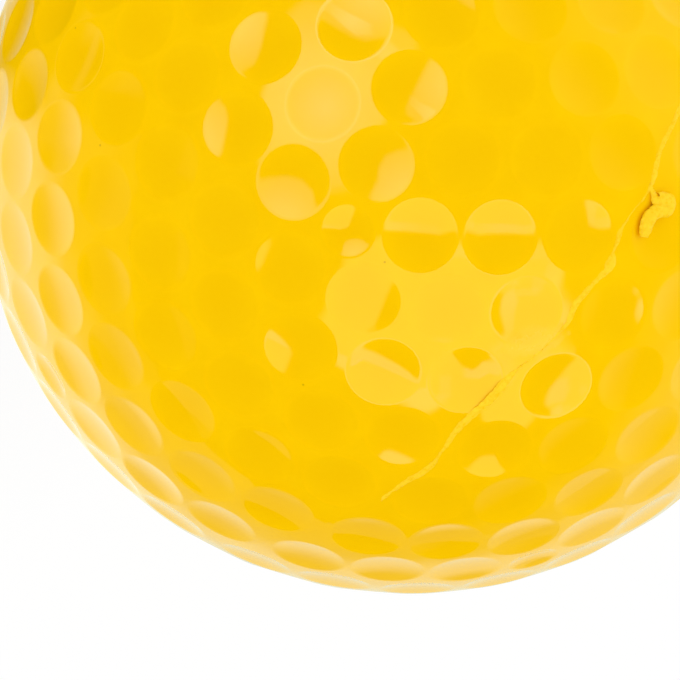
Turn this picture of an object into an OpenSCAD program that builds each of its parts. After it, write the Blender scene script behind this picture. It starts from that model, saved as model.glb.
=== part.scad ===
// Golf practice ball. A solid rubber core sits in two dimpled cover halves, which the mould
// joins round it. Cover stock squeezed out of the joint, the flash, stands out along the seam.
// Millimetres. The origin is the ball's centre. The ball lies with its seam upright, in the
// XZ plane, so the mould opens along Y. +Z goes through the seam beside a small dimple of the
// front half, whose pole faces -Y.

/* [Ball] */
// Diameter over the land between the dimples
ball_d = 42.7; // [42.7:0.1:45]
// Diameter of the rubber core
core_d = 38.6; // [34:0.1:39.5]

/* [Dimples] */
// Rim diameter of a full-size dimple
dimple_d = 3.75; // [3.2:0.05:3.75]
// Rim diameter of a small dimple, which sits at each pole and each corner of a polar cap
small_dimple_d = 2.65; // [2:0.05:2.8]
// Depth of every dimple below the sphere of the land
dimple_depth = 0.24; // [0.18:0.01:0.3]

/* [Dimple layout] */
// Latitude of the five corners of a polar cap, in degrees
corner_lat = 30; // [29.8:0.1:30.2]
// Angle from a small dimple to the next dimple along a side of its triangle
small_gap = 9.35; // [9.2:0.05:9.5]
// How far the cap's rings bend from a circle of latitude, 0, to a great circle, 1
ring_bow = 0.83; // [0.8:0.01:0.9]
// Latitude of the row of dimples nearest the seam
seam_row_lat = 5.35; // [5.3:0.05:5.4]
// Latitude of the middle row, below a corner
middle_row_lat = 13.7; // [13.65:0.05:13.75]
// Rise of the middle row half-way between two corners
middle_row_rise = 0.6; // [0.5:0.1:0.7]
// Latitude of the row nearest the cap, below a corner
inner_row_lat = 21.7; // [21.65:0.05:21.8]
// Rise of the row nearest the cap half-way between two corners
inner_row_rise = 2.7; // [2.5:0.1:2.8]
// Turn of the rear half against the front one, which sets the seam rows between each other
rear_turn = -30; // [-30:12:30]

/* [Flash] */
// Thickness of the flash in the joint
flash_t = 0.16; // [0.1:0.02:0.18]
// Depth of the flash in the joint
flash_in = 0.5; // [0.3:0.05:1]
// Height of the fin above the land, where the flash was not buffed off
flash_out = 0.1; // [0.05:0.01:0.2]
// Angle along the seam, from the top, at which the fin starts
fin_from = -32; // [-80:1:-20]
// Angle along the seam at which the fin ends
fin_to = 75; // [40:1:110]
// Angle along the seam of the torn curl that hangs from the fin
curl_at = 25; // [0:1:35]
// Diameter over the curl's loop
curl_d = 1.1; // [0.9:0.05:1.3]
// Width of the torn strip
curl_w = 0.42; // [0.3:0.02:0.5]
// Thickness of the torn strip
curl_t = 0.34; // [0.2:0.02:0.5]

/* [Hidden] */
$fn = 96;
ball_r = ball_d / 2;
core_r = core_d / 2;
corners = 5;
sector = 360 / corners;
// A side of a cap triangle has seven dimples, the small ones at its ends included.
side_steps = 6;
corner_angle = 90 - corner_lat;
row_step = sector / side_steps;
// A cutter is this much wider than its dimple, so that its wall clears the land.
rim_margin = 0.015;
// Least width of land that two dimples may leave between them.
least_land = 0.03;
// Least width of land that the seam row may leave beside the flash.
least_seam_land = 0.01;
// The curl clears the cover by this much and hangs from the fin alone.
curl_lift = 0.02;
// Length of the straight strip, its slant and where its neck leaves the fin.
curl_strip = 1.5;
curl_slant = 9;
curl_neck_x = 0.6;
curl_drop = 0.85;

// Layout, cover section and flash are drawn with the mould's axis along Z, and then laid down.
// A direction from the ball's centre, as a unit vector.
function direction(lat, lon) = [cos(lat) * cos(lon), cos(lat) * sin(lon), sin(lat)];

// The direction a share of the way along the great circle from a to b.
function between(a, b, share) =
    let (span = acos(a * b))
    (sin((1 - share) * span) * a + sin(share * span) * b) / sin(span);

// Angle along a side of length span after k steps: the steps beside its small ends are shorter.
function side_angle(k, span) =
    k == 0 ? 0
    : k == side_steps ? span
    : small_gap + (k - 1) * (span - 2 * small_gap) / (side_steps - 2);

// A dimple's place is [latitude, longitude, rim diameter].
// Ring k of the polar cap has k dimples in each sector, and the last ring holds the corners.
function ring_place(k, s, j) =
    let (
        side_lat = 90 - side_angle(k, corner_angle),
        a = direction(side_lat, 0),
        b = direction(side_lat, sector),
        span = acos(a * b),
        share = k == side_steps ? side_angle(j, span) / span : j / k,
        p = between(a, b, share)
    )
    [
        side_lat + ring_bow * (asin(p.z) - side_lat),
        s * sector + atan2(p.y, p.x),
        k == side_steps && j == 0 ? small_dimple_d : dimple_d
    ];

// A row between the cap and the seam has an equal number of dimples in each sector.
function row_place(lat, rise, lon) =
    let (off_middle = (lon % sector) / (sector / 2) - 1)
    [lat + rise * (1 - off_middle * off_middle), lon, dimple_d];

function row_places(lat, rise, first) =
    [for (m = [0 : corners * side_steps - 1]) row_place(lat, rise, first + m * row_step)];

half_layout = concat(
    [[90, 0, small_dimple_d]],
    [for (k = [1 : side_steps]) for (s = [0 : corners - 1]) for (j = [0 : k - 1]) ring_place(k, s, j)],
    row_places(inner_row_lat, inner_row_rise, row_step / 2),
    row_places(middle_row_lat, middle_row_rise, 0),
    row_places(seam_row_lat, 0, row_step / 2)
);

// Width of land between two dimples of one half, along the sphere.
function land(p, q) =
    let (apart = acos(min(1, direction(p.x, p.y) * direction(q.x, q.y))))
    (apart - asin(p.z / ball_d) - asin(q.z / ball_d)) * PI / 180 * ball_r;

half_count = len(half_layout);
half_land = min([for (i = [1 : half_count - 1]) for (j = [0 : i - 1]) land(half_layout[i], half_layout[j])]);
seam_land = (seam_row_lat - asin(dimple_d / ball_d)) * PI / 180 * ball_r - flash_t / 2;
assert(half_land > least_land, "two dimples run into each other");
assert(seam_land > least_seam_land, "the seam row runs into the flash");

// The lens of material that one dimple takes away, at the top of the ball.
module dimple(rim_d) {
    rim_r = rim_d / 2;
    bowl_depth = dimple_depth - (ball_r - sqrt(ball_r * ball_r - rim_r * rim_r));
    bowl_r = (rim_r * rim_r + bowl_depth * bowl_depth) / (2 * bowl_depth);
    intersection() {
        translate([0, 0, ball_r - dimple_depth + bowl_r])
            sphere(r = bowl_r);
        translate([0, 0, ball_r - 2 * dimple_depth])
            cylinder(r = rim_r + rim_margin, h = 3 * dimple_depth);
    }
}

// Section of a cover half, with the step at the seam that the flash fills.
module cover_section() {
    difference() {
        intersection() {
            circle(r = ball_r);
            square(ball_r);
        }
        circle(r = core_r);
        translate([ball_r - flash_in, 0])
            square([2 * flash_in, flash_t / 2]);
    }
}

module cover_half() {
    difference() {
        rotate_extrude()
            cover_section();
        for (place = half_layout)
            rotate([0, 90 - place.x, place.y])
                dimple(place.z);
    }
}

// Lays the ball down: the mould's Z turns to -Y and its X turns up.
module lay_down() {
    rotate([90, -90, 0])
        children();
}

// Puts a shape on the seam: its X runs along the seam, its Y to the front pole, its Z outwards.
module on_seam(lon) {
    rotate([0, 0, lon])
        translate([ball_r, 0, 0])
            rotate([90, 0, 90])
                children();
}

// The fin, over the stretch of seam that was not buffed.
module fin() {
    rotate([0, 0, fin_from])
        rotate_extrude(angle = fin_to - fin_from)
            translate([ball_r - flash_in / 2, -flash_t / 2])
                square([flash_in / 2 + flash_out, flash_t]);
}

// A torn strip of flash that lies over the rear half: neck, strip and the loop at its end.
module curl() {
    loop_x = curl_neck_x + curl_w / 4;
    loop_y = -curl_drop - curl_d / 2 + curl_w / 2;
    translate([0, 0, curl_lift])
        linear_extrude(curl_t) {
            translate([curl_neck_x - curl_w / 2, -curl_drop])
                square([curl_w, curl_drop + flash_t / 4]);
            translate([curl_neck_x, -curl_drop])
                rotate(180 + curl_slant)
                    translate([0, -curl_w / 2])
                        square([curl_strip, curl_w]);
            difference() {
                translate([loop_x, loop_y])
                    circle(d = curl_d);
                translate([loop_x, loop_y])
                    circle(d = curl_d - 2 * curl_w);
            }
        }
}

// The solid rubber centre.
module core() {
    color("dimgray")
        lay_down()
            sphere(r = core_r);
}

// The half of the cover in front of the seam.
module front_cover() {
    color("gold")
        lay_down()
            cover_half();
}

// The half of the cover behind the seam, from the same mould shape turned over.
module rear_cover() {
    color("gold")
        lay_down()
            rotate([0, 0, rear_turn])
                rotate([180, 0, 0])
                    cover_half();
}

// The stock that fills the joint, flush with the land, with the fin and its torn curl.
module seam_flash() {
    color("goldenrod")
        lay_down() {
            difference() {
                cylinder(r = ball_r, h = flash_t, center = true);
                cylinder(r = ball_r - flash_in, h = 2 * flash_t, center = true);
            }
            fin();
            on_seam(curl_at)
                curl();
        }
}

core();
front_cover();
rear_cover();
seam_flash();
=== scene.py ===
import math

import bpy
from mathutils import Matrix, Vector


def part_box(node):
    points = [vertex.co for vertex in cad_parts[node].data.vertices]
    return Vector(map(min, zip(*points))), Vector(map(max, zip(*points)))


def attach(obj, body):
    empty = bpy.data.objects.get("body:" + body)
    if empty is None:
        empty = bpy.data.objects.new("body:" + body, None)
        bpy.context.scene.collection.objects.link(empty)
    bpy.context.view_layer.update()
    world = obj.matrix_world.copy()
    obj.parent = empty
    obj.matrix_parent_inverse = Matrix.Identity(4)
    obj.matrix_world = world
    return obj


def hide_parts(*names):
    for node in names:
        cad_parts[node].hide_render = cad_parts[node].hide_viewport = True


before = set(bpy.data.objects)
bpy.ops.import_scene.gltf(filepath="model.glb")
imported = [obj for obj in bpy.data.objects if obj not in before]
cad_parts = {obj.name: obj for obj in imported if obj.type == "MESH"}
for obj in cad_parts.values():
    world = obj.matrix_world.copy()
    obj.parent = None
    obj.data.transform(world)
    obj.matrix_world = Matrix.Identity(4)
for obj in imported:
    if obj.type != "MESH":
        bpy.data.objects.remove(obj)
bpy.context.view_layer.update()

# Core. A solid ball of cross-linked rubber, moulded before the cover. The cover halves close
# round it and hide it, so it stays the CAD solid, in dull grey rubber with a fine grain.
mm = 0.001
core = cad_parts["core"]
core_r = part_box("core")[1].x
core_dark = (0.065, 0.075, 0.085, 1)
core_light = (0.11, 0.12, 0.13, 1)
core_smooth, core_rough = 0.55, 0.75
blotch_size = 6 * mm
grain_size, grain_depth, grain_strength = 0.7 * mm, 0.02 * mm, 0.6
# Nearly all of a noise lies between these values.
noise_range = (0.3, 0.7)


def add_node(tree, kind, inputs=None, **settings):
    """A new node, with its settings, and its inputs linked to sockets or set to values."""
    node = tree.nodes.new(kind)
    for name, value in settings.items():
        setattr(node, name, value)
    for name, value in (inputs or {}).items():
        if isinstance(value, bpy.types.NodeSocket):
            tree.links.new(value, node.inputs[name])
        else:
            node.inputs[name].default_value = value
    return node


def new_finish(name):
    """An empty node material, as the material, its tree and the piece's Object coordinates."""
    finish = bpy.data.materials.new(name)
    finish.use_nodes = True
    finish.node_tree.nodes.clear()
    place = add_node(finish.node_tree, "ShaderNodeTexCoord").outputs["Object"]
    return finish, finish.node_tree, place


def noise(tree, place, size, **inputs):
    """Noise from 0 to 1 whose lumps are about size across."""
    named = {"Vector": place, "Scale": 1 / size}
    named.update({name.capitalize(): value for name, value in inputs.items()})
    return add_node(tree, "ShaderNodeTexNoise", named).outputs["Fac"]


def ramp(tree, amount, low, high, at_low, at_high):
    """A value that goes from at_low to at_high as amount goes from low to high."""
    return add_node(tree, "ShaderNodeMapRange", {
        "Value": amount, "From Min": low, "From Max": high, "To Min": at_low, "To Max": at_high,
    }).outputs["Result"]


def mix_colour(tree, amount, first, second):
    """First where amount is 0, second where it is 1."""
    mixed = add_node(tree, "ShaderNodeMix", {0: amount, 6: first, 7: second}, data_type="RGBA")
    return mixed.outputs[2]


def bump(tree, height, depth, strength):
    """The normal of a surface with that relief."""
    return add_node(tree, "ShaderNodeBump", {
        "Height": height, "Distance": depth, "Strength": strength,
    }).outputs["Normal"]


def end_finish(tree, shader):
    add_node(tree, "ShaderNodeOutputMaterial", {"Surface": shader})


rubber, tree, place = new_finish("core_rubber")
grain = noise(tree, place, grain_size, detail=4)
blotch = noise(tree, place, blotch_size, detail=2)
rubber_skin = add_node(tree, "ShaderNodeBsdfPrincipled", {
    "Base Color": mix_colour(tree, blotch, core_dark, core_light),
    "Roughness": ramp(tree, grain, *noise_range, core_smooth, core_rough),
    "Normal": bump(tree, grain, grain_depth, grain_strength),
})
end_finish(tree, rubber_skin.outputs["BSDF"])
core.data.materials.clear()
core.data.materials.append(rubber)

# Front cover half. A cup of yellow ionomer, about 2 mm thick, moulded with its dimples. Five
# triangles of dimples round the pole and three rows down to the seam leave the seam itself free.
skin_inset = 0.001 * mm
ball_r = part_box("front_cover")[1].x - skin_inset
dimple_r = 3.75 * mm / 2
small_dimple_r = 2.65 * mm / 2
dimple_depth = 0.24 * mm
rim_lip = 0.02 * mm
rim_round = 0.11 * mm
flash_t = 0.16 * mm
flash_in = 0.5 * mm
rim_steps = 36
bowl_steps = 8
seam_steps = 240
cup_steps = 14
corners = 5
sector = 360 / corners
side_steps = 6
corner_angle = 60
small_gap = 9.35
ring_bow = 0.83
row_step = sector / side_steps
seam_row_lat = 5.35
middle_row_lat, middle_row_rise = 13.7, 0.6
inner_row_lat, inner_row_rise = 21.7, 2.7
weld_distance = 0.0005 * mm
# The disc that every bowl is made from has a radius of 1.
disc_weld = 0.0001
sharp_angle = math.radians(40)


def direction(lat, lon):
    lat, lon = math.radians(lat), math.radians(lon)
    return Vector((math.cos(lat) * math.cos(lon), math.cos(lat) * math.sin(lon), math.sin(lat)))


def side_angle(k, span):
    """Angle along a side of a triangle after k steps: those beside its small ends are shorter."""
    if k == 0 or k == side_steps:
        return span * k / side_steps
    return small_gap + (k - 1) * (span - 2 * small_gap) / (side_steps - 2)


def cap_places():
    """The small dimple at the pole and the six rings round it: the last has the small corners."""
    yield direction(90, 0), small_dimple_r
    for k in range(1, side_steps + 1):
        side_lat = 90 - side_angle(k, corner_angle)
        first, last = direction(side_lat, 0), direction(side_lat, sector)
        span = math.degrees(first.angle(last))
        for j in range(k):
            share = side_angle(j, span) / span if k == side_steps else j / k
            chord = first.slerp(last, share)
            lat = side_lat + ring_bow * (math.degrees(math.asin(chord.z)) - side_lat)
            lon = math.degrees(math.atan2(chord.y, chord.x))
            rim = small_dimple_r if k == side_steps and j == 0 else dimple_r
            for s in range(corners):
                yield direction(lat, lon + s * sector), rim


def row_places(lat, rise, start):
    """A row of dimples between the cap and the seam, which rises between two corners."""
    for m in range(corners * side_steps):
        lon = start + m * row_step
        off_middle = (lon % sector) / (sector / 2) - 1
        yield direction(lat + rise * (1 - off_middle ** 2), lon), dimple_r


def dimple_places():
    yield from cap_places()
    yield from row_places(inner_row_lat, inner_row_rise, row_step / 2)
    yield from row_places(middle_row_lat, middle_row_rise, 0)
    yield from row_places(seam_row_lat, 0, row_step / 2)


def cup_wall():
    """The unseen wall of the cup, from the seam's edge over its step to the inside of the pole."""
    edge_r = math.sqrt(ball_r ** 2 - (flash_t / 2) ** 2)
    section = [(edge_r, flash_t / 2), (ball_r - flash_in, flash_t / 2), (ball_r - flash_in, 0)]
    for k in range(cup_steps):
        angle = math.pi / 2 * k / cup_steps
        section.append((core_r * math.cos(angle), core_r * math.sin(angle)))
    turns = [2 * math.pi * i / seam_steps for i in range(seam_steps)]
    points = [(r * math.cos(a), r * math.sin(a), z) for r, z in section for a in turns]
    faces = []
    for ring in range(len(section) - 1):
        for i in range(seam_steps):
            a, b = ring * seam_steps + i, ring * seam_steps + (i + 1) % seam_steps
            faces.append((a, a + seam_steps, b + seam_steps, b))
    pole = len(points)
    points.append((0, 0, core_r))
    last = pole - seam_steps
    faces += [(last + i, pole, last + (i + 1) % seam_steps) for i in range(seam_steps)]
    return points, faces


def calc(tree, operation, *values):
    """The result of a Math node."""
    return add_node(tree, "ShaderNodeMath", dict(enumerate(values)), operation=operation).outputs[0]


def product(tree, first, *others):
    """The values multiplied with each other."""
    for other in others:
        first = calc(tree, "MULTIPLY", first, other)
    return first


def squares_apart(tree, first, second):
    """The square of the first value less the square of the second."""
    return calc(tree, "SUBTRACT", product(tree, first, first), product(tree, second, second))


def vector_calc(tree, operation, *values):
    """The result of a Vector Math node: a number for DOT_PRODUCT and LENGTH, else a vector."""
    node = add_node(tree, "ShaderNodeVectorMath", dict(enumerate(values)), operation=operation)
    return node.outputs["Value" if operation in ("DOT_PRODUCT", "LENGTH") else "Vector"]


def scaled(tree, vector, factor):
    """The vector made longer by that factor."""
    node = add_node(tree, "ShaderNodeVectorMath", {0: vector, "Scale": factor}, operation="SCALE")
    return node.outputs["Vector"]


def distance(tree, first, second):
    return vector_calc(tree, "LENGTH", vector_calc(tree, "SUBTRACT", first, second))


def xyz(tree, x=0.0, y=0.0, z=0.0):
    return add_node(tree, "ShaderNodeCombineXYZ", {"X": x, "Y": y, "Z": z}).outputs["Vector"]


def split_xyz(tree, vector):
    """The vector's X, Y and Z, by name."""
    return add_node(tree, "ShaderNodeSeparateXYZ", {"Vector": vector}).outputs


def new_geometry_tree(name, sizes):
    """A Geometry Nodes tree with a geometry, the named sizes and a material as its inputs."""
    tree = bpy.data.node_groups.new(name, "GeometryNodeTree")
    tree.interface.new_socket("Geometry", in_out="OUTPUT", socket_type="NodeSocketGeometry")
    tree.interface.new_socket("Geometry", in_out="INPUT", socket_type="NodeSocketGeometry")
    for size, value in sizes.items():
        kind = "NodeSocketInt" if isinstance(value, int) else "NodeSocketFloat"
        tree.interface.new_socket(size, in_out="INPUT", socket_type=kind)
    tree.interface.new_socket("Lie", in_out="INPUT", socket_type="NodeSocketRotation")
    tree.interface.new_socket("Material", in_out="INPUT", socket_type="NodeSocketMaterial")
    return tree, add_node(tree, "NodeGroupInput").outputs


def joined(tree, pieces):
    """The pieces as one geometry."""
    join = add_node(tree, "GeometryNodeJoinGeometry")
    for piece in pieces:
        tree.links.new(piece, join.inputs["Geometry"])
    return join.outputs["Geometry"]


def end_geometry_tree(tree, asked, pieces):
    """Joins the pieces, lays them as the ball lies and gives them their material."""
    welded = add_node(tree, "GeometryNodeMergeByDistance", {
        "Geometry": joined(tree, pieces), "Distance": weld_distance,
    })
    laid = add_node(tree, "GeometryNodeTransform", {
        "Geometry": welded.outputs["Geometry"], "Rotation": asked["Lie"],
    })
    real = add_node(tree, "GeometryNodeRealizeInstances", {"Geometry": laid.outputs["Geometry"]})
    finished = add_node(tree, "GeometryNodeSetMaterial", {
        "Geometry": real.outputs["Geometry"], "Material": asked["Material"],
    })
    add_node(tree, "NodeGroupOutput", {"Geometry": finished.outputs["Geometry"]})


def position(tree):
    return add_node(tree, "GeometryNodeInputPosition").outputs["Position"]


def moved(tree, geometry, position):
    return add_node(tree, "GeometryNodeSetPosition", {
        "Geometry": geometry, "Position": position,
    }).outputs["Geometry"]


def attribute(tree, name, kind):
    named = add_node(tree, "GeometryNodeInputNamedAttribute", {"Name": name}, data_type=kind)
    return named.outputs["Attribute"]


def stored(tree, geometry, name, kind, value):
    """The geometry with that value kept at its points under that name."""
    return add_node(tree, "GeometryNodeStoreNamedAttribute", {
        "Geometry": geometry, "Name": name, "Value": value,
    }, data_type=kind, domain="POINT").outputs["Geometry"]


def circle(tree, steps, radius):
    return add_node(tree, "GeometryNodeCurvePrimitiveCircle", {
        "Resolution": steps, "Radius": radius,
    }).outputs["Curve"]


def polar_disc(tree, rings, steps):
    """A flat disc of radius 1 whose rings lie closer together towards its rim."""
    grid = add_node(tree, "GeometryNodeMeshGrid", {
        "Size X": 1.0, "Size Y": 1.0,
        "Vertices X": calc(tree, "ADD", rings, 1.0), "Vertices Y": calc(tree, "ADD", steps, 1.0),
    })
    spot = split_xyz(tree, position(tree))
    inward = calc(tree, "SUBTRACT", 0.5, spot["X"])
    radius = calc(tree, "SUBTRACT", 1.0, product(tree, inward, inward))
    angle = product(tree, spot["Y"], 2 * math.pi)
    place = xyz(tree, product(tree, radius, calc(tree, "COSINE", angle)),
                product(tree, radius, calc(tree, "SINE", angle)))
    return add_node(tree, "GeometryNodeMergeByDistance", {
        "Geometry": moved(tree, grid.outputs["Mesh"], place), "Distance": disc_weld,
    }).outputs["Geometry"]


cover_sizes = {
    "Ball radius": ball_r, "Dimple depth": dimple_depth, "Rim lip": rim_lip, "Rim rounding": rim_round,
    "Seam height": flash_t / 2, "Rim steps": rim_steps, "Bowl steps": bowl_steps,
    "Seam steps": seam_steps,
}
cover_tree, asked = new_geometry_tree("dimpled_half", cover_sizes)
tree = cover_tree
rim = attribute(tree, "rim", "FLOAT")
split = add_node(tree, "GeometryNodeSeparateGeometry", {
    "Geometry": asked["Geometry"], "Selection": calc(tree, "GREATER_THAN", rim, 0.0),
}, domain="POINT")
here = position(tree)
outwards = vector_calc(tree, "NORMALIZE", here)
centres = stored(tree, split.outputs["Selection"], "axis", "FLOAT_VECTOR", outwards)
axis = attribute(tree, "axis", "FLOAT_VECTOR")
aligned = add_node(tree, "FunctionNodeAlignRotationToVector", {"Vector": axis}, axis="Z")
lip_r = calc(tree, "ADD", rim, asked["Rim lip"])


def on_each_dimple(shape):
    """The shape once on every dimple, facing outwards and as wide as its rim with the lip."""
    instances = add_node(tree, "GeometryNodeInstanceOnPoints", {
        "Points": centres, "Instance": shape, "Rotation": aligned.outputs["Rotation"],
        "Scale": xyz(tree, lip_r, lip_r, 1.0),
    }).outputs["Instances"]
    return add_node(tree, "GeometryNodeRealizeInstances", {"Geometry": instances}).outputs["Geometry"]


# A point of a dimple is its distance off the dimple's axis and its height along that axis.
flat = vector_calc(tree, "SUBTRACT", here,
                   scaled(tree, axis, vector_calc(tree, "DOT_PRODUCT", here, axis)))
off_axis = vector_calc(tree, "LENGTH", flat)
land = calc(tree, "SQRT", squares_apart(tree, asked["Ball radius"], off_axis))
sharp_r = calc(tree, "SUBTRACT", lip_r, asked["Rim rounding"])


def bowl_drop(radius):
    """Depth of the bowl below the land at that radius, if its rim were sharp."""
    share = calc(tree, "DIVIDE", squares_apart(tree, sharp_r, radius), product(tree, rim, rim))
    return product(tree, asked["Dimple depth"], share)


def along_axis(geometry, height):
    """The geometry with its points at that height along the axis of their dimple."""
    return moved(tree, geometry, vector_calc(tree, "ADD", flat, scaled(tree, axis, height)))


rounding = product(tree, bowl_drop(lip_r), -1.0)
drop = calc(tree, "SMOOTH_MAX", bowl_drop(off_axis), 0.0, rounding)
discs = stored(tree, on_each_dimple(polar_disc(tree, asked["Bowl steps"], asked["Rim steps"])),
               "bowl", "FLOAT", calc(tree, "DIVIDE", drop, asked["Dimple depth"]))
bowls = along_axis(discs, calc(tree, "SUBTRACT", land, drop))

# The land is filled in between the rims and the seam's edge, on a plane on which circles of
# the ball stay circles, and goes back to the ball from there.
rims = along_axis(on_each_dimple(circle(tree, asked["Rim steps"], 1.0)), land)
edge_r = calc(tree, "SQRT", squares_apart(tree, asked["Ball radius"], asked["Seam height"]))
edge = add_node(tree, "GeometryNodeTransform", {
    "Geometry": circle(tree, asked["Seam steps"], edge_r),
    "Translation": xyz(tree, z=asked["Seam height"]),
}).outputs["Geometry"]
spot = split_xyz(tree, here)
nearness = calc(tree, "ADD", 1.0, calc(tree, "DIVIDE", spot["Z"], asked["Ball radius"]))
flattened = moved(tree, joined(tree, [rims, edge]), xyz(
    tree, calc(tree, "DIVIDE", spot["X"], nearness), calc(tree, "DIVIDE", spot["Y"], nearness)))
filled = add_node(tree, "GeometryNodeFillCurve", {"Curve": flattened}, mode="TRIANGLES")
in_radii = scaled(tree, here, calc(tree, "DIVIDE", 1.0, asked["Ball radius"]))
reach = vector_calc(tree, "LENGTH", in_radii)
reach_squared = product(tree, reach, reach)
rise = product(tree, asked["Ball radius"], calc(tree, "SUBTRACT", 1.0, reach_squared))
raised = vector_calc(tree, "ADD", scaled(tree, here, 2.0), xyz(tree, z=rise))
shrink = calc(tree, "DIVIDE", 1.0, calc(tree, "ADD", 1.0, reach_squared))
land_skin = moved(tree, filled.outputs["Mesh"], scaled(tree, raised, shrink))
end_geometry_tree(tree, asked, [bowls, land_skin, split.outputs["Inverted"]])


def add_object(name, data):
    """A new object in the scene."""
    added = bpy.data.objects.new(name, data)
    bpy.context.scene.collection.objects.link(added)
    return added


def smooth_piece(name, mesh):
    """The mesh as an object that is shaded smooth, except at its sharp edges."""
    mesh.shade_smooth()
    mesh.set_sharp_from_angle(angle=sharp_angle)
    return add_object(name, mesh)


def built_by(tree, sizes, lie, finish, name, mesh):
    """The plain mesh object that the tree makes from the given mesh."""
    base = add_object(name + "_base", mesh)
    modifier = base.modifiers.new(name, "NODES")
    modifier.node_group = tree
    values = {**sizes, "Lie": lie, "Material": finish}
    for socket in tree.interface.items_tree:
        if socket.in_out == "INPUT" and socket.name in values:
            modifier[socket.identifier] = values[socket.name]
    depsgraph = bpy.context.evaluated_depsgraph_get()
    made = bpy.data.meshes.new_from_object(base.evaluated_get(depsgraph), depsgraph=depsgraph)
    bpy.data.objects.remove(base)
    made.name = name
    return smooth_piece(name, made)


cover_deep = (0.955, 0.545, 0.0001, 1)
cover_bright = (0.985, 0.575, 0.0004, 1)
pigment_size = 2.2 * mm
# Painted shade: the colour is darker deeper in each dimple bowl.
cover_bowl_shade = (0.94, 0.53, 0.0001, 1)
bowl_shade_share = 0.8
plastic_ior = 1.5
cover_smooth, cover_rough = 0.04, 0.055
haze_size, haze_range = 3.5 * mm, (0.35, 0.75)
peel_size, peel_depth, peel_strength = 0.9 * mm, 0.004 * mm, 0.5
# Pinholes are painted as small brown dots of shade, not made as holes.
pinhole_shade_brown = (0.42, 0.17, 0.004, 1)
pinholes = [(60.4, -32.6), (23.9, 0.0), (19.6, -21.7), (77.6, -39.4)]
pinhole_r, pinhole_edge, pinhole_shade_cover = 0.03 * mm, 0.08 * mm, 0.5
scuff_lat, scuff_lon = 1.88, 3.36
scuff_along, scuff_across = Vector((0, 0.78, -0.63)), Vector((0, 0.63, 0.78))
scuff_length, scuff_width = 3 * mm, 1.2 * mm
# The scuff is full up to this share of its size and ends at the other, and its edge is ragged.
scuff_full, scuff_end, scuff_ragged = 0.5, 1.2, 0.4
scuff_grit_size = 0.35 * mm
scuff_pale = (0.985, 0.6, 0.015, 1)
scuff_cover = 0.5
scuff_dull = 0.25
scuff_depth = 9.0
lay_down = Matrix.Rotation(math.radians(-90), 4, "Y") @ Matrix.Rotation(math.radians(90), 4, "X")

lacquered, tree, place = new_finish("lacquered_yellow_ionomer")
pigment = noise(tree, place, pigment_size, detail=3, roughness=0.6)
colour = mix_colour(tree, ramp(tree, pigment, *noise_range, 0.0, 1.0), cover_deep, cover_bright)
# Painted shade: the colour darkens towards the bottom of each dimple.
bowl = add_node(tree, "ShaderNodeAttribute", attribute_name="bowl").outputs["Fac"]
colour = mix_colour(tree, product(tree, bowl, bowl_shade_share), colour, cover_bowl_shade)
# Painted shade of the pinholes: brown dots in the colour.
for lat, lon in pinholes:
    off_hole = distance(tree, place, lay_down @ (direction(lat, lon) * ball_r))
    pinhole_shaded = ramp(tree, off_hole, pinhole_r, pinhole_edge, pinhole_shade_cover, 0.0)
    colour = mix_colour(tree, pinhole_shaded, colour, pinhole_shade_brown)
scuff_middle = lay_down @ (direction(scuff_lat, scuff_lon) * ball_r)
off_scuff = vector_calc(tree, "SUBTRACT", place, scuff_middle)


def scuff_share(axis, size):
    """Distance from the scuff's middle along that axis, as a share of half its size."""
    off_middle = vector_calc(tree, "DOT_PRODUCT", off_scuff, lay_down @ axis)
    return calc(tree, "DIVIDE", off_middle, size / 2)


scuff_reach = vector_calc(tree, "LENGTH", xyz(
    tree, scuff_share(scuff_along, scuff_length), scuff_share(scuff_across, scuff_width)))
scuff_grit = noise(tree, place, scuff_grit_size, detail=4, roughness=0.65)
ragged = ramp(tree, scuff_grit, *noise_range, -scuff_ragged, scuff_ragged)
scuffed = ramp(tree, calc(tree, "ADD", scuff_reach, ragged), scuff_full, scuff_end, 1.0, 0.0)
colour = mix_colour(tree, product(tree, scuffed, scuff_cover), colour, scuff_pale)
haze = noise(tree, place, haze_size, detail=5, roughness=0.7)
dullness = ramp(tree, haze, *haze_range, cover_smooth, cover_rough)
peel = noise(tree, place, peel_size, detail=2)
relief = calc(tree, "ADD", peel, product(tree, scuff_grit, scuff_depth, scuffed))
cover_skin = add_node(tree, "ShaderNodeBsdfPrincipled", {
    "Base Color": colour,
    "Roughness": calc(tree, "ADD", dullness, product(tree, scuffed, scuff_dull)),
    "IOR": plastic_ior,
    "Normal": bump(tree, relief, peel_depth, peel_strength),
})
end_finish(tree, cover_skin.outputs["BSDF"])


def cover_half(name, lie):
    """A half built from its dimple centres, each with its rim radius, and from its unseen wall."""
    points, faces = cup_wall()
    rims = [0.0] * len(points)
    for towards, rim_r in dimple_places():
        points.append(towards * ball_r)
        rims.append(rim_r)
    mesh = bpy.data.meshes.new(name + "_base")
    mesh.from_pydata(points, [], faces)
    mesh.attributes.new("rim", "FLOAT", "POINT").data.foreach_set("value", rims)
    piece = built_by(cover_tree, cover_sizes, lie.to_euler(), lacquered, name, mesh)
    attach(piece, "root")
    return piece


front_shell = cover_half("front_cover_shell", lay_down)
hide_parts("front_cover")

# Rear cover half. The same moulded cup turned over and round, so that the dimples beside the
# seam sit between those of the front half. Heat and pressure weld it to the other along the seam.
rear_turn = -30
turn_over = Matrix.Rotation(math.radians(rear_turn), 4, "Z") @ Matrix.Rotation(math.pi, 4, "X")
rear_shell = cover_half("rear_cover_shell", lay_down @ turn_over)
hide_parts("rear_cover")

# Seam flash. Cover stock that the mould squeezed out along the seam. The joint is buffed flush and
# lacquered over, but on one stretch a ragged fin of it is left, with a torn curl.
joint_inner, joint_half = ball_r - flash_in, flash_t / 2
joint_section = [(joint_inner, -joint_half), (ball_r, -joint_half), (ball_r, joint_half),
                 (joint_inner, joint_half)]


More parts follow.
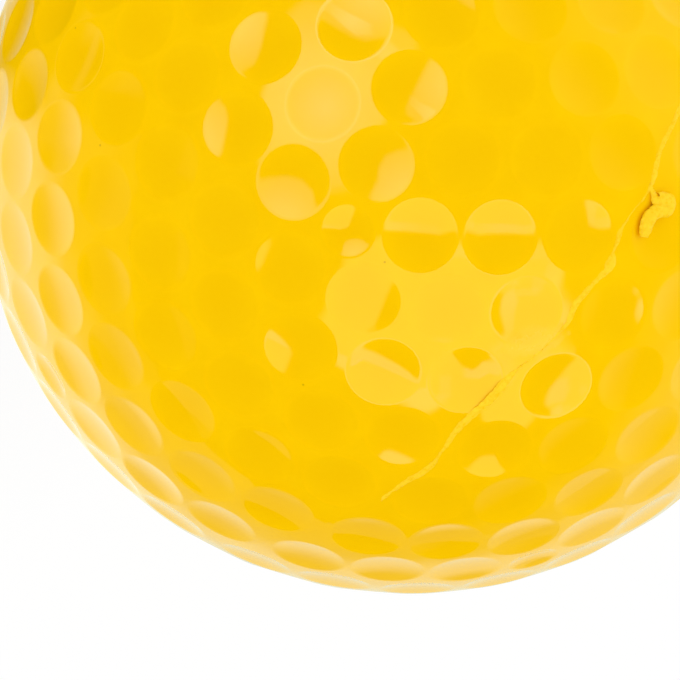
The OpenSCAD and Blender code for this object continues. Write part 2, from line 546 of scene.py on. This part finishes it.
def turned(section):
    """The points and faces of a closed section, of radius and height, turned round the axis."""
    turns = [2 * math.pi * i / seam_steps for i in range(seam_steps)]
    points = [(r * math.cos(a), r * math.sin(a), z) for a in turns for r, z in section]
    sides = len(section)
    faces = []
    for i in range(seam_steps):
        here, ahead = i * sides, (i + 1) % seam_steps * sides
        for k in range(sides):
            other = (k + 1) % sides
            faces.append((here + k, ahead + k, ahead + other, here + other))
    return points, faces


def on_the_seam(piece):
    """Every piece of flash is fixed to the ball and stands for the one CAD piece."""
    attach(piece, "root")
    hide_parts("seam_flash")


joint_points, joint_faces = turned(joint_section)
joint_mesh = bpy.data.meshes.new("seam_joint")
joint_mesh.from_pydata([lay_down @ Vector(point) for point in joint_points], [], joint_faces)
joint_mesh.materials.append(lacquered)
seam_joint = smooth_piece("seam_joint", joint_mesh)
on_the_seam(seam_joint)

# A torn strip follows a route that is unrolled flat, along the seam from its top and across it
# towards the front half. The tree sweeps a lumpy strip along it and rolls it up on the ball.
strip_sizes = {
    "Ball radius": ball_r, "Flatness": 0.3, "Edge taper": 2.0, "Lump size": 0.35 * mm,
    "Raggedness": 0.12 * mm, "Step": 0.05 * mm, "Round steps": 14,
}
strip_tree, asked = new_geometry_tree("torn_strip", strip_sizes)
tree = strip_tree
half_width = attribute(tree, "half_width", "FLOAT")
route = add_node(tree, "GeometryNodeMeshToCurve", {"Mesh": asked["Geometry"]})
bent = add_node(tree, "GeometryNodeCurveSplineType", {
    "Curve": route.outputs["Curve"],
}, spline_type="CATMULL_ROM")
stepped = add_node(tree, "GeometryNodeResampleCurve", {
    "Curve": bent.outputs["Curve"], "Length": asked["Step"],
}, mode="LENGTH")
swept = add_node(tree, "GeometryNodeCurveToMesh", {
    "Curve": stepped.outputs["Curve"], "Profile Curve": circle(tree, asked["Round steps"], 1.0),
    "Scale": half_width, "Fill Caps": True,
})
here = position(tree)
lumps = add_node(tree, "ShaderNodeTexNoise", {
    "Vector": here, "Scale": calc(tree, "DIVIDE", 1.0, asked["Lump size"]),
    "Detail": 3.0, "Roughness": 0.6,
}).outputs["Color"]
either_way = vector_calc(tree, "SUBTRACT", lumps, (0.5, 0.5, 0.5))
shift = scaled(tree, either_way, asked["Raggedness"])
torn_spot = split_xyz(tree, vector_calc(tree, "ADD", here, shift))
along = calc(tree, "DIVIDE", torn_spot["X"], asked["Ball radius"])
across = calc(tree, "DIVIDE", torn_spot["Y"], asked["Ball radius"])
share = calc(tree, "DIVIDE", torn_spot["Z"], half_width)
taper = calc(tree, "POWER", calc(tree, "ABSOLUTE", share), asked["Edge taper"])
height = product(tree, calc(tree, "SIGN", share), taper, half_width, asked["Flatness"])
lifted = calc(tree, "ADD", attribute(tree, "lift", "FLOAT"), height)
radius = calc(tree, "ADD", asked["Ball radius"], lifted)
off_seam = calc(tree, "COSINE", across)
outwards = xyz(tree, product(tree, off_seam, calc(tree, "COSINE", along)),
               product(tree, off_seam, calc(tree, "SINE", along)), calc(tree, "SINE", across))
rolled_up = moved(tree, swept.outputs["Mesh"], scaled(tree, outwards, radius))
end_geometry_tree(tree, asked, [rolled_up])

flash_deep = (0.955, 0.56, 0.0005, 1)
flash_pale = (0.99, 0.64, 0.006, 1)
flash_smooth, flash_rough, flash_shine = 0.22, 0.38, 0.22
crumb_size, crumb_depth, crumb_strength = 0.2 * mm, 0.012 * mm, 0.4
crumb_range = (0.35, 0.65)
torn, tree, place = new_finish("torn_yellow_ionomer")
crumb = noise(tree, place, crumb_size, detail=4, roughness=0.6)
torn_skin = add_node(tree, "ShaderNodeBsdfPrincipled", {
    "Base Color": mix_colour(tree, ramp(tree, crumb, *crumb_range, 0.0, 1.0), flash_deep, flash_pale),
    "Roughness": ramp(tree, crumb, *noise_range, flash_smooth, flash_rough),
    "IOR": plastic_ior,
    "Specular IOR Level": flash_shine,
    "Normal": bump(tree, crumb, crumb_depth, crumb_strength),
})
end_finish(tree, torn_skin.outputs["BSDF"])


def torn_strip(name, route, **sizes):
    """A strip along a route of points: distance along and across the seam, half width and lift."""
    points = [(along * mm, across * mm, 0) for along, across, half_width, lift in route]
    mesh = bpy.data.meshes.new(name + "_base")
    mesh.from_pydata(points, [(i, i + 1) for i in range(len(points) - 1)], [])
    for values, column in (("half_width", 2), ("lift", 3)):
        kept = mesh.attributes.new(values, "FLOAT", "POINT")
        kept.data.foreach_set("value", [spot[column] * mm for spot in route])
    piece = built_by(strip_tree, {**strip_sizes, **sizes}, lay_down.to_euler(), torn, name, mesh)
    on_the_seam(piece)


# The fin lies on the land: a point of its route is its place along and across, and its half width.
fin_route = [
    (-10.6, -0.25, 0.02), (-10.2, -0.18, 0.1), (-9.6, -0.1, 0.07), (-9.1, -0.12, 0.14),
    (-8.4, -0.12, 0.15), (-7.8, -0.23, 0.19), (-7.15, -0.25, 0.15), (-6.3, -0.07, 0.07),
    (-5.1, 0.27, 0.14), (-4.4, 0.39, 0.18), (-3.7, 0.42, 0.2), (-3, 0.38, 0.22), (-2.3, 0.32, 0.25),
    (-1.6, 0.35, 0.25), (-0.95, 0.4, 0.19), (-0.3, 0.35, 0.07), (0.5, 0.15, 0.04), (1.5, -0.05, 0.03),
    (2.3, -0.12, 0.05), (2.95, -0.17, 0.12), (3.5, 0.01, 0.17), (4, 0.07, 0.18), (4.5, 0, 0.16),
    (5.1, -0.08, 0.13), (5.6, -0.2, 0.14), (5.95, -0.32, 0.18), (6.3, -0.28, 0.28), (6.65, -0.18, 0.2),
    (6.95, -0.06, 0.06), (7.35, 0.04, 0.1), (7.7, 0.13, 0.14), (8.1, 0.19, 0.09), (8.6, 0.16, 0.04),
    (9.1, 0.09, 0.03), (9.95, -0.1, 0.05), (10.85, -0.08, 0.13), (11.7, 0.12, 0.14), (12.4, 0.25, 0.13),
    (15, 0.1, 0.12), (20, 0, 0.11), (26, 0, 0.08), (27.8, 0, 0.02),
]
torn_strip("seam_fin", [(*spot, 0) for spot in fin_route],
           **{"Flatness": 0.24, "Lump size": 0.28 * mm, "Raggedness": 0.22 * mm})
curl_at = 25
curl_start = math.radians(curl_at) * ball_r / mm
curl_route = [
    (1.3, -0.05, 0.08, 0), (1.02, -0.36, 0.14, 0.04), (0.8, -0.6, 0.28, 0.15), (0.9, -0.8, 0.33, 0.18),
    (1.03, -1.02, 0.34, 0.18), (1.08, -1.28, 0.34, 0.18), (0.95, -1.48, 0.33, 0.18),
    (0.7, -1.45, 0.33, 0.18), (0.5, -1.18, 0.34, 0.18), (0.28, -0.9, 0.36, 0.18),
    (-0.08, -0.78, 0.38, 0.16), (-0.46, -0.82, 0.38, 0.16), (-0.77, -0.93, 0.33, 0.15),
    (-1.02, -1.03, 0.24, 0.14),
]
torn_strip("torn_curl", [(curl_start + along, *others) for along, *others in curl_route],
           **{"Flatness": 0.5, "Edge taper": 1.0, "Lump size": 0.35 * mm, "Raggedness": 0.26 * mm})

# Camera. It looks down on the ball from the front and is rolled, as the photograph was taken,
# so the picture's axes are worked out here and the lights are set out along them.
image_size = 680
ball_pixel = (409.5, 159.6)
limb_pixels = 434.5
camera_distance = 24 * ball_r
camera_azimuth, camera_elevation, camera_roll = (math.radians(a) for a in (-23.12, 57.89, 150.56))
camera_tilt = math.pi / 2 - camera_elevation
camera_turn = Matrix.Rotation(camera_azimuth, 3, "Z") @ Matrix.Rotation(camera_tilt, 3, "X")
picture_axes = camera_turn @ Matrix.Rotation(camera_roll, 3, "Z")
focal_pixels = limb_pixels * math.sqrt((camera_distance / ball_r) ** 2 - 1)
to_ball = Vector((ball_pixel[0] - image_size / 2, image_size / 2 - ball_pixel[1], -focal_pixels))
aim = Vector((0, 0, -1)).rotation_difference(to_ball).to_matrix()
lens = bpy.data.cameras.new("camera")
lens.sensor_width = 36
lens.lens = focal_pixels / image_size * lens.sensor_width
lens.clip_start, lens.clip_end = 0.01, 20
camera = add_object("camera", lens)
camera.matrix_world = (picture_axes @ aim.inverted()).to_4x4()
camera.location = picture_axes @ Vector((0, 0, camera_distance))
bpy.context.scene.camera = camera

# Floor. A white sheet that glows with painted light. Seen directly it is a painted pool of light. In the
# gloss it is painted bright beside the ball and behind it, painted yellow with bounce light from the ball
# at its foot, and painted dark towards the camera, with a dim painted corner and a painted streak of light
# there.
floor_z = -ball_r
floor_half = 4.0
white = (1, 1, 1, 1)
matt_white = (0.95, 0.95, 0.95, 1)
greenish = (0.88, 1.03, 0.97, 1)
# Painted bounce light: the sheet's glow is painted yellow near the ball's foot.
painted_bounce_yellow = (1, 0.97, 0.65, 1)
shadow_share = 0.08
# Painted light on the sheet: a pool of light, a brighter spot, painted dark towards the camera, a lit band
# behind the ball and a dim corner.
pool_centre = Vector((35 * mm, 45 * mm, floor_z))
pool_r, pool_edge = 80 * mm, 45 * mm
far_seen = 0.85
bright_spot, bright_r, bright_edge = Vector((42 * mm, -12 * mm, floor_z)), 24 * mm, 48 * mm
lit_x, unlit_x = 80 * mm, 150 * mm
bright_level, dim = 1.15, 0.45
dark_front, lit_front, front_level = -68 * mm, -30 * mm, 0.3
back_start, back_full, back_level = -15 * mm, 25 * mm, 0.88
back_fade, back_end, far_level = 105 * mm, 165 * mm, 0.6
back_aside = Vector((0.92, -0.38, 0))
back_side, side_end, side_level = 42 * mm, 80 * mm, 0.25
left_lit, left_unlit, left_level = -60 * mm, -160 * mm, 0.45
sheet_side = Vector((0.88, 0.47, 0))
sheet_start, sheet_full = 4.5 * mm, 11 * mm
corner_side = Vector((0.98, 0.2, 0))
corner_start, corner_full, corner_level = 14 * mm, 18 * mm, 0.5
corner_back, corner_front = -39 * mm, -45 * mm
corner_fade, corner_end = -53 * mm, -63 * mm
# A painted streak of light across the sheet in front of the ball.
streak_spot, streak_across = Vector((18 * mm, -46.5 * mm, 0)), Vector((-0.24, 0.97, 0))
streak_half, streak_edge = 1.2 * mm, 4.2 * mm
streak_start, streak_full, streak_glow_level = 9 * mm, 25 * mm, 0.24
foot_r, foot_edge, bounce_edge = 16 * mm, 28 * mm, 30 * mm
sheet, tree, place = new_finish("white_sheet_painted_light")
rays = add_node(tree, "ShaderNodeLightPath").outputs
spot = split_xyz(tree, place)


def ramp_aside(side, *levels):
    """A ramp over the distance from the ball's middle towards that side."""
    return ramp(tree, vector_calc(tree, "DOT_PRODUCT", place, side), *levels)


def largest(first, *others):
    for other in others:
        first = calc(tree, "MAXIMUM", first, other)
    return first


# Seen directly, the sheet glows as a painted pool of light, a little dimmer away from it.
off_pool = ramp(tree, distance(tree, place, pool_centre), pool_r - pool_edge, pool_r + pool_edge, 0.0, 1.0)
painted_seen_glow = ramp(tree, off_pool, 0.0, 1.0, 1.0, far_seen)
# In the gloss, painted light: bright near a spot and beside the ball, painted dark towards the camera.
lit_near = ramp(tree, distance(tree, place, bright_spot), bright_r, bright_edge, bright_level, dim)
lit_side = ramp(tree, spot["X"], lit_x, unlit_x, 1.0, dim)
lit_before = add_node(tree, "ShaderNodeMapRange", {
    "Value": spot["Y"], "From Min": dark_front, "From Max": lit_front, "To Min": front_level,
}, interpolation_type="SMOOTHSTEP").outputs["Result"]
on_corner = product(tree, ramp(tree, spot["Y"], corner_front, corner_back, 1.0, 0.0),
                    ramp(tree, spot["Y"], corner_end, corner_fade, 0.0, 1.0),
                    ramp_aside(corner_side, corner_start, corner_full, 0.0, corner_level))
on_sheet = largest(ramp_aside(sheet_side, sheet_start, sheet_full, 0.0, 1.0), on_corner)
painted_pool_glow = product(tree, lit_near, lit_side, lit_before, on_sheet)
# The painted streak of light, stronger away from the ball's side.
off_streak = vector_calc(tree, "DOT_PRODUCT", vector_calc(tree, "SUBTRACT", place, streak_spot), streak_across)
on_streak = ramp(tree, calc(tree, "ABSOLUTE", off_streak), streak_half, streak_edge, 1.0, 0.0)
painted_streak_glow = product(tree, on_streak, ramp(tree, spot["X"], streak_start, streak_full, 0.0, streak_glow_level))
# A painted band of light behind the ball, dimmer far off and to the sides.
painted_back_glow = product(tree, ramp(tree, spot["Y"], back_start, back_full, 0.0, back_level),
                     ramp(tree, spot["Y"], back_fade, back_end, 1.0, far_level),
                     ramp(tree, spot["X"], left_unlit, left_lit, left_level, 1.0),
                     ramp_aside(back_aside, back_side, side_end, 1.0, side_level))
off_ball = vector_calc(tree, "LENGTH", vector_calc(tree, "MULTIPLY", place, (1, 1, 0)))
# Painted glow round the ball's foot.
painted_foot_glow = ramp(tree, off_ball, foot_r, foot_edge, 1.0, 0.0)
painted_glossy_glow = largest(painted_pool_glow, painted_streak_glow, painted_back_glow, painted_foot_glow)
glow_level = add_node(tree, "ShaderNodeMix", {
    0: rays["Is Camera Ray"], 2: painted_glossy_glow, 3: painted_seen_glow,
}).outputs[0]
# Painted yellow bounce light from the ball, fading away from its foot.
painted_bounce_share = ramp(tree, off_ball, foot_r, bounce_edge, 1.0, 0.0)
glossy_colour = mix_colour(tree, painted_bounce_share, greenish, painted_bounce_yellow)
glow = add_node(tree, "ShaderNodeEmission", {
    "Color": mix_colour(tree, rays["Is Camera Ray"], glossy_colour, white), "Strength": glow_level,
})
matt = add_node(tree, "ShaderNodeBsdfDiffuse", {"Color": matt_white})
mirrored = largest(rays["Is Glossy Ray"], rays["Is Transmission Ray"])
seen = largest(product(tree, rays["Is Camera Ray"], 1 - shadow_share), mirrored)
sheet_skin = add_node(tree, "ShaderNodeMixShader", {
    0: seen, 1: matt.outputs["BSDF"], 2: glow.outputs["Emission"],
})
end_finish(tree, sheet_skin.outputs["Shader"])
floor_mesh = bpy.data.meshes.new("floor")
floor_corners = [(-floor_half, -floor_half, floor_z), (floor_half, -floor_half, floor_z),
                 (floor_half, floor_half, floor_z), (-floor_half, floor_half, floor_z)]
floor_mesh.from_pydata(floor_corners, [], [(0, 1, 2, 3)])
floor_mesh.materials.append(sheet)
floor = add_object("floor", floor_mesh)

# Lights. Two soft boxes above the ball and a dim wall behind it show in its gloss only. Each panel
# adds its glow to what is behind it. The room lights the ball, more from the picture's two sides.
panel_distance = 4.0
panel_edge = math.radians(2.6)
warm = (1, 1, 0.4, 1)
cool = (0.2, 0.2, 1, 1)
middle_light, side_light = (0.945, 0.905, 0.91, 1), (1.5, 1.7, 1.7, 1)
brighter_side = Vector((0.985, 0.174, 0))
pale_room = (0.8, 0.8, 0.8, 1)


def towards(right, up):
    """The direction at that many degrees right and up from the line to the camera."""
    angle = math.radians(math.hypot(right, up))
    turn = math.atan2(up, right)
    aside = math.sin(angle)
    return picture_axes @ Vector((aside * math.cos(turn), aside * math.sin(turn), math.cos(angle)))


def skyline(azimuth, elevation):
    """The direction at that azimuth from +X and that elevation above the floor."""
    return direction(elevation, azimuth)


def soft_light(name, colour, strength, places, seen_by=towards, heart=None, heart_squash=1):
    """A glowing panel whose outline, as seen from the ball, goes through those places. Its heart is
    the place where it is brightest, how bright, and the angles over which it fades from there. A
    squashed heart fades that many times sooner upwards than sideways."""
    corners = [seen_by(*place) for place in places]
    facing = sum(corners, Vector()).normalized()
    outer, inner = [], []
    for corner in corners:
        edge = (corner - facing * corner.dot(facing)).normalized() * panel_edge / 2
        outer.append(corner + edge)
        inner.append(corner - edge)
    sides = len(corners)
    faces = [(i, (i + 1) % sides, sides + (i + 1) % sides, sides + i) for i in range(sides)]
    faces.append(range(sides, 2 * sides))
    points = [ray * panel_distance / ray.dot(facing) for ray in outer + inner]
    mesh = bpy.data.meshes.new(name)
    mesh.from_pydata(points, [], faces)
    inside = mesh.attributes.new("glow", "FLOAT", "POINT")
    inside.data.foreach_set("value", [0.0] * sides + [1.0] * sides)
    lit, tree, place = new_finish(name)
    if heart:
        middle, bright, fade_start, fade_end = heart
        squash = Vector((1, 1, heart_squash))
        ray = vector_calc(tree, "NORMALIZE", vector_calc(tree, "MULTIPLY", place, squash))
        heart_ray = (seen_by(*middle) * squash).normalized()
        off_heart = calc(tree, "ARCCOSINE", vector_calc(tree, "DOT_PRODUCT", ray, heart_ray))
        fade_start, fade_end = math.radians(fade_start), math.radians(fade_end)
        strength = ramp(tree, off_heart, fade_start, fade_end, bright, strength)
    glow = add_node(tree, "ShaderNodeAttribute", attribute_name="glow").outputs["Fac"]
    clear = add_node(tree, "ShaderNodeBsdfTransparent")
    glowing = add_node(tree, "ShaderNodeEmission", {
        "Color": colour, "Strength": product(tree, glow, strength),
    })
    both = add_node(tree, "ShaderNodeAddShader", {
        0: clear.outputs["BSDF"], 1: glowing.outputs["Emission"],
    })
    end_finish(tree, both.outputs["Shader"])
    mesh.materials.append(lit)
    panel = add_object(name, mesh)
    panel.visible_camera = panel.visible_diffuse = panel.visible_shadow = False


soft_light("left_box", white, 0.7, [
    (-33, 38.5), (-28, 41.5), (-20, 43), (-13.4, 40.6), (1.5, 31), (2, 27.5), (-6.5, 10.5), (-9, 6),
    (-9.5, 0), (-12.5, -5.5), (-18, -8), (-26.6, -8.8), (-34, -7), (-39.5, -1.5), (-40.5, 5),
    (-37.4, 21), (-35.8, 30),
], heart=((-24, 16), 2.6, 0, 25))
soft_light("left_box_tube", white, 0.4, [
    (-23.3, 40.2), (-15.3, 40.2), (0.8, 25.7), (0, 21.7), (-8.8, 27.3), (-22.5, 34.6),
], heart=((-13, 33), 1.8, 0, 13))
soft_light("right_box", warm, 1.8, [
    (-12, -21.3), (-6, -19.8), (34, -21.4), (39.5, -24), (41.3, -33), (43.3, -40), (43, -44.5),
    (41.8, -49), (44.8, -52), (45.4, -55), (44, -60), (39.6, -67), (33.8, -75), (30.5, -78),
    (23.5, -78.2), (21, -72.5), (16.5, -66.5), (12, -64), (9, -66), (7, -69), (4, -69.3), (-6, -64.7),
    (-17.5, -57.5), (-22.5, -52.3), (-25.3, -47), (-18, -28), (-16, -23.5),
])
soft_light("right_box_top", cool, 0.2, [
    (-6.4, -19.6), (38.6, -22.2), (38.6, -27), (12.9, -25.7), (-6.4, -23.8),
], heart=((20, -24), 0.75, 4, 18))
soft_light("right_box_side", cool, 0.35, [
    (36.5, -23.5), (39.5, -24), (41.3, -33), (43.3, -40), (43, -44.5), (41.8, -49), (37, -52),
    (34.5, -45), (36, -36),
], heart=((38, -47), 1.05, 0, 22))
soft_light("right_box_corner", cool, 0.75, [
    (44.8, -52), (45.4, -55), (44, -60), (40.5, -65.5), (34.5, -67), (33.5, -60), (35.5, -53.5),
])
soft_light("right_box_foot", cool, 0.9, [
    (-24.5, -48.5), (-19, -56), (-6, -64.5), (4, -69.2), (7, -68.8), (9, -65.8), (12, -63.8),
    (16, -65.5), (15.5, -60.5), (9, -59), (5, -63), (0, -61), (-14, -54.5),
])
soft_light("right_box_flap", cool, 0.4, [(22, -50), (27.5, -49.5), (28, -61.5), (22.5, -61.5)])
soft_light("right_box_fold", cool, 0.4, [(24, -47.3), (36, -47.3), (36, -51.3), (24, -51.3)])
soft_light("back_wall", greenish, 0.0, [(45, -1.5), (150, -1.5), (150, 30), (100, 44), (45, 25)],
           skyline, heart=((97, -4), 0.62, 0, 54), heart_squash=2)
soft_light("back_wall_patch", greenish, 0.0, [(75, -1.5), (130, -1.5), (135, 25), (105, 42), (75, 25)],
           skyline, heart=((102, 14), 0.26, 4, 28))
soft_light("side_wall", greenish, 0.0, [(105, -1.5), (200, -1.5), (200, 40), (155, 50), (105, 40)],
           skyline, heart=((160, 4), 0.22, 15, 42))
room = bpy.data.worlds.new("room")
bpy.context.scene.world = room
room.use_nodes = True
tree = room.node_tree
tree.nodes.clear()
rays = add_node(tree, "ShaderNodeLightPath").outputs
ray = add_node(tree, "ShaderNodeTexCoord").outputs["Generated"]
sideways = vector_calc(tree, "DOT_PRODUCT", ray, picture_axes @ brighter_side)
room_light = mix_colour(tree, product(tree, sideways, sideways), middle_light, side_light)
sky = add_node(tree, "ShaderNodeBackground", {
    "Color": mix_colour(tree, rays["Is Camera Ray"], room_light, pale_room),
})
add_node(tree, "ShaderNodeOutputWorld", {"Surface": sky.outputs["Background"]})
room.cycles_visibility.glossy = False

bpy.context.scene.view_settings.view_transform = "Standard"
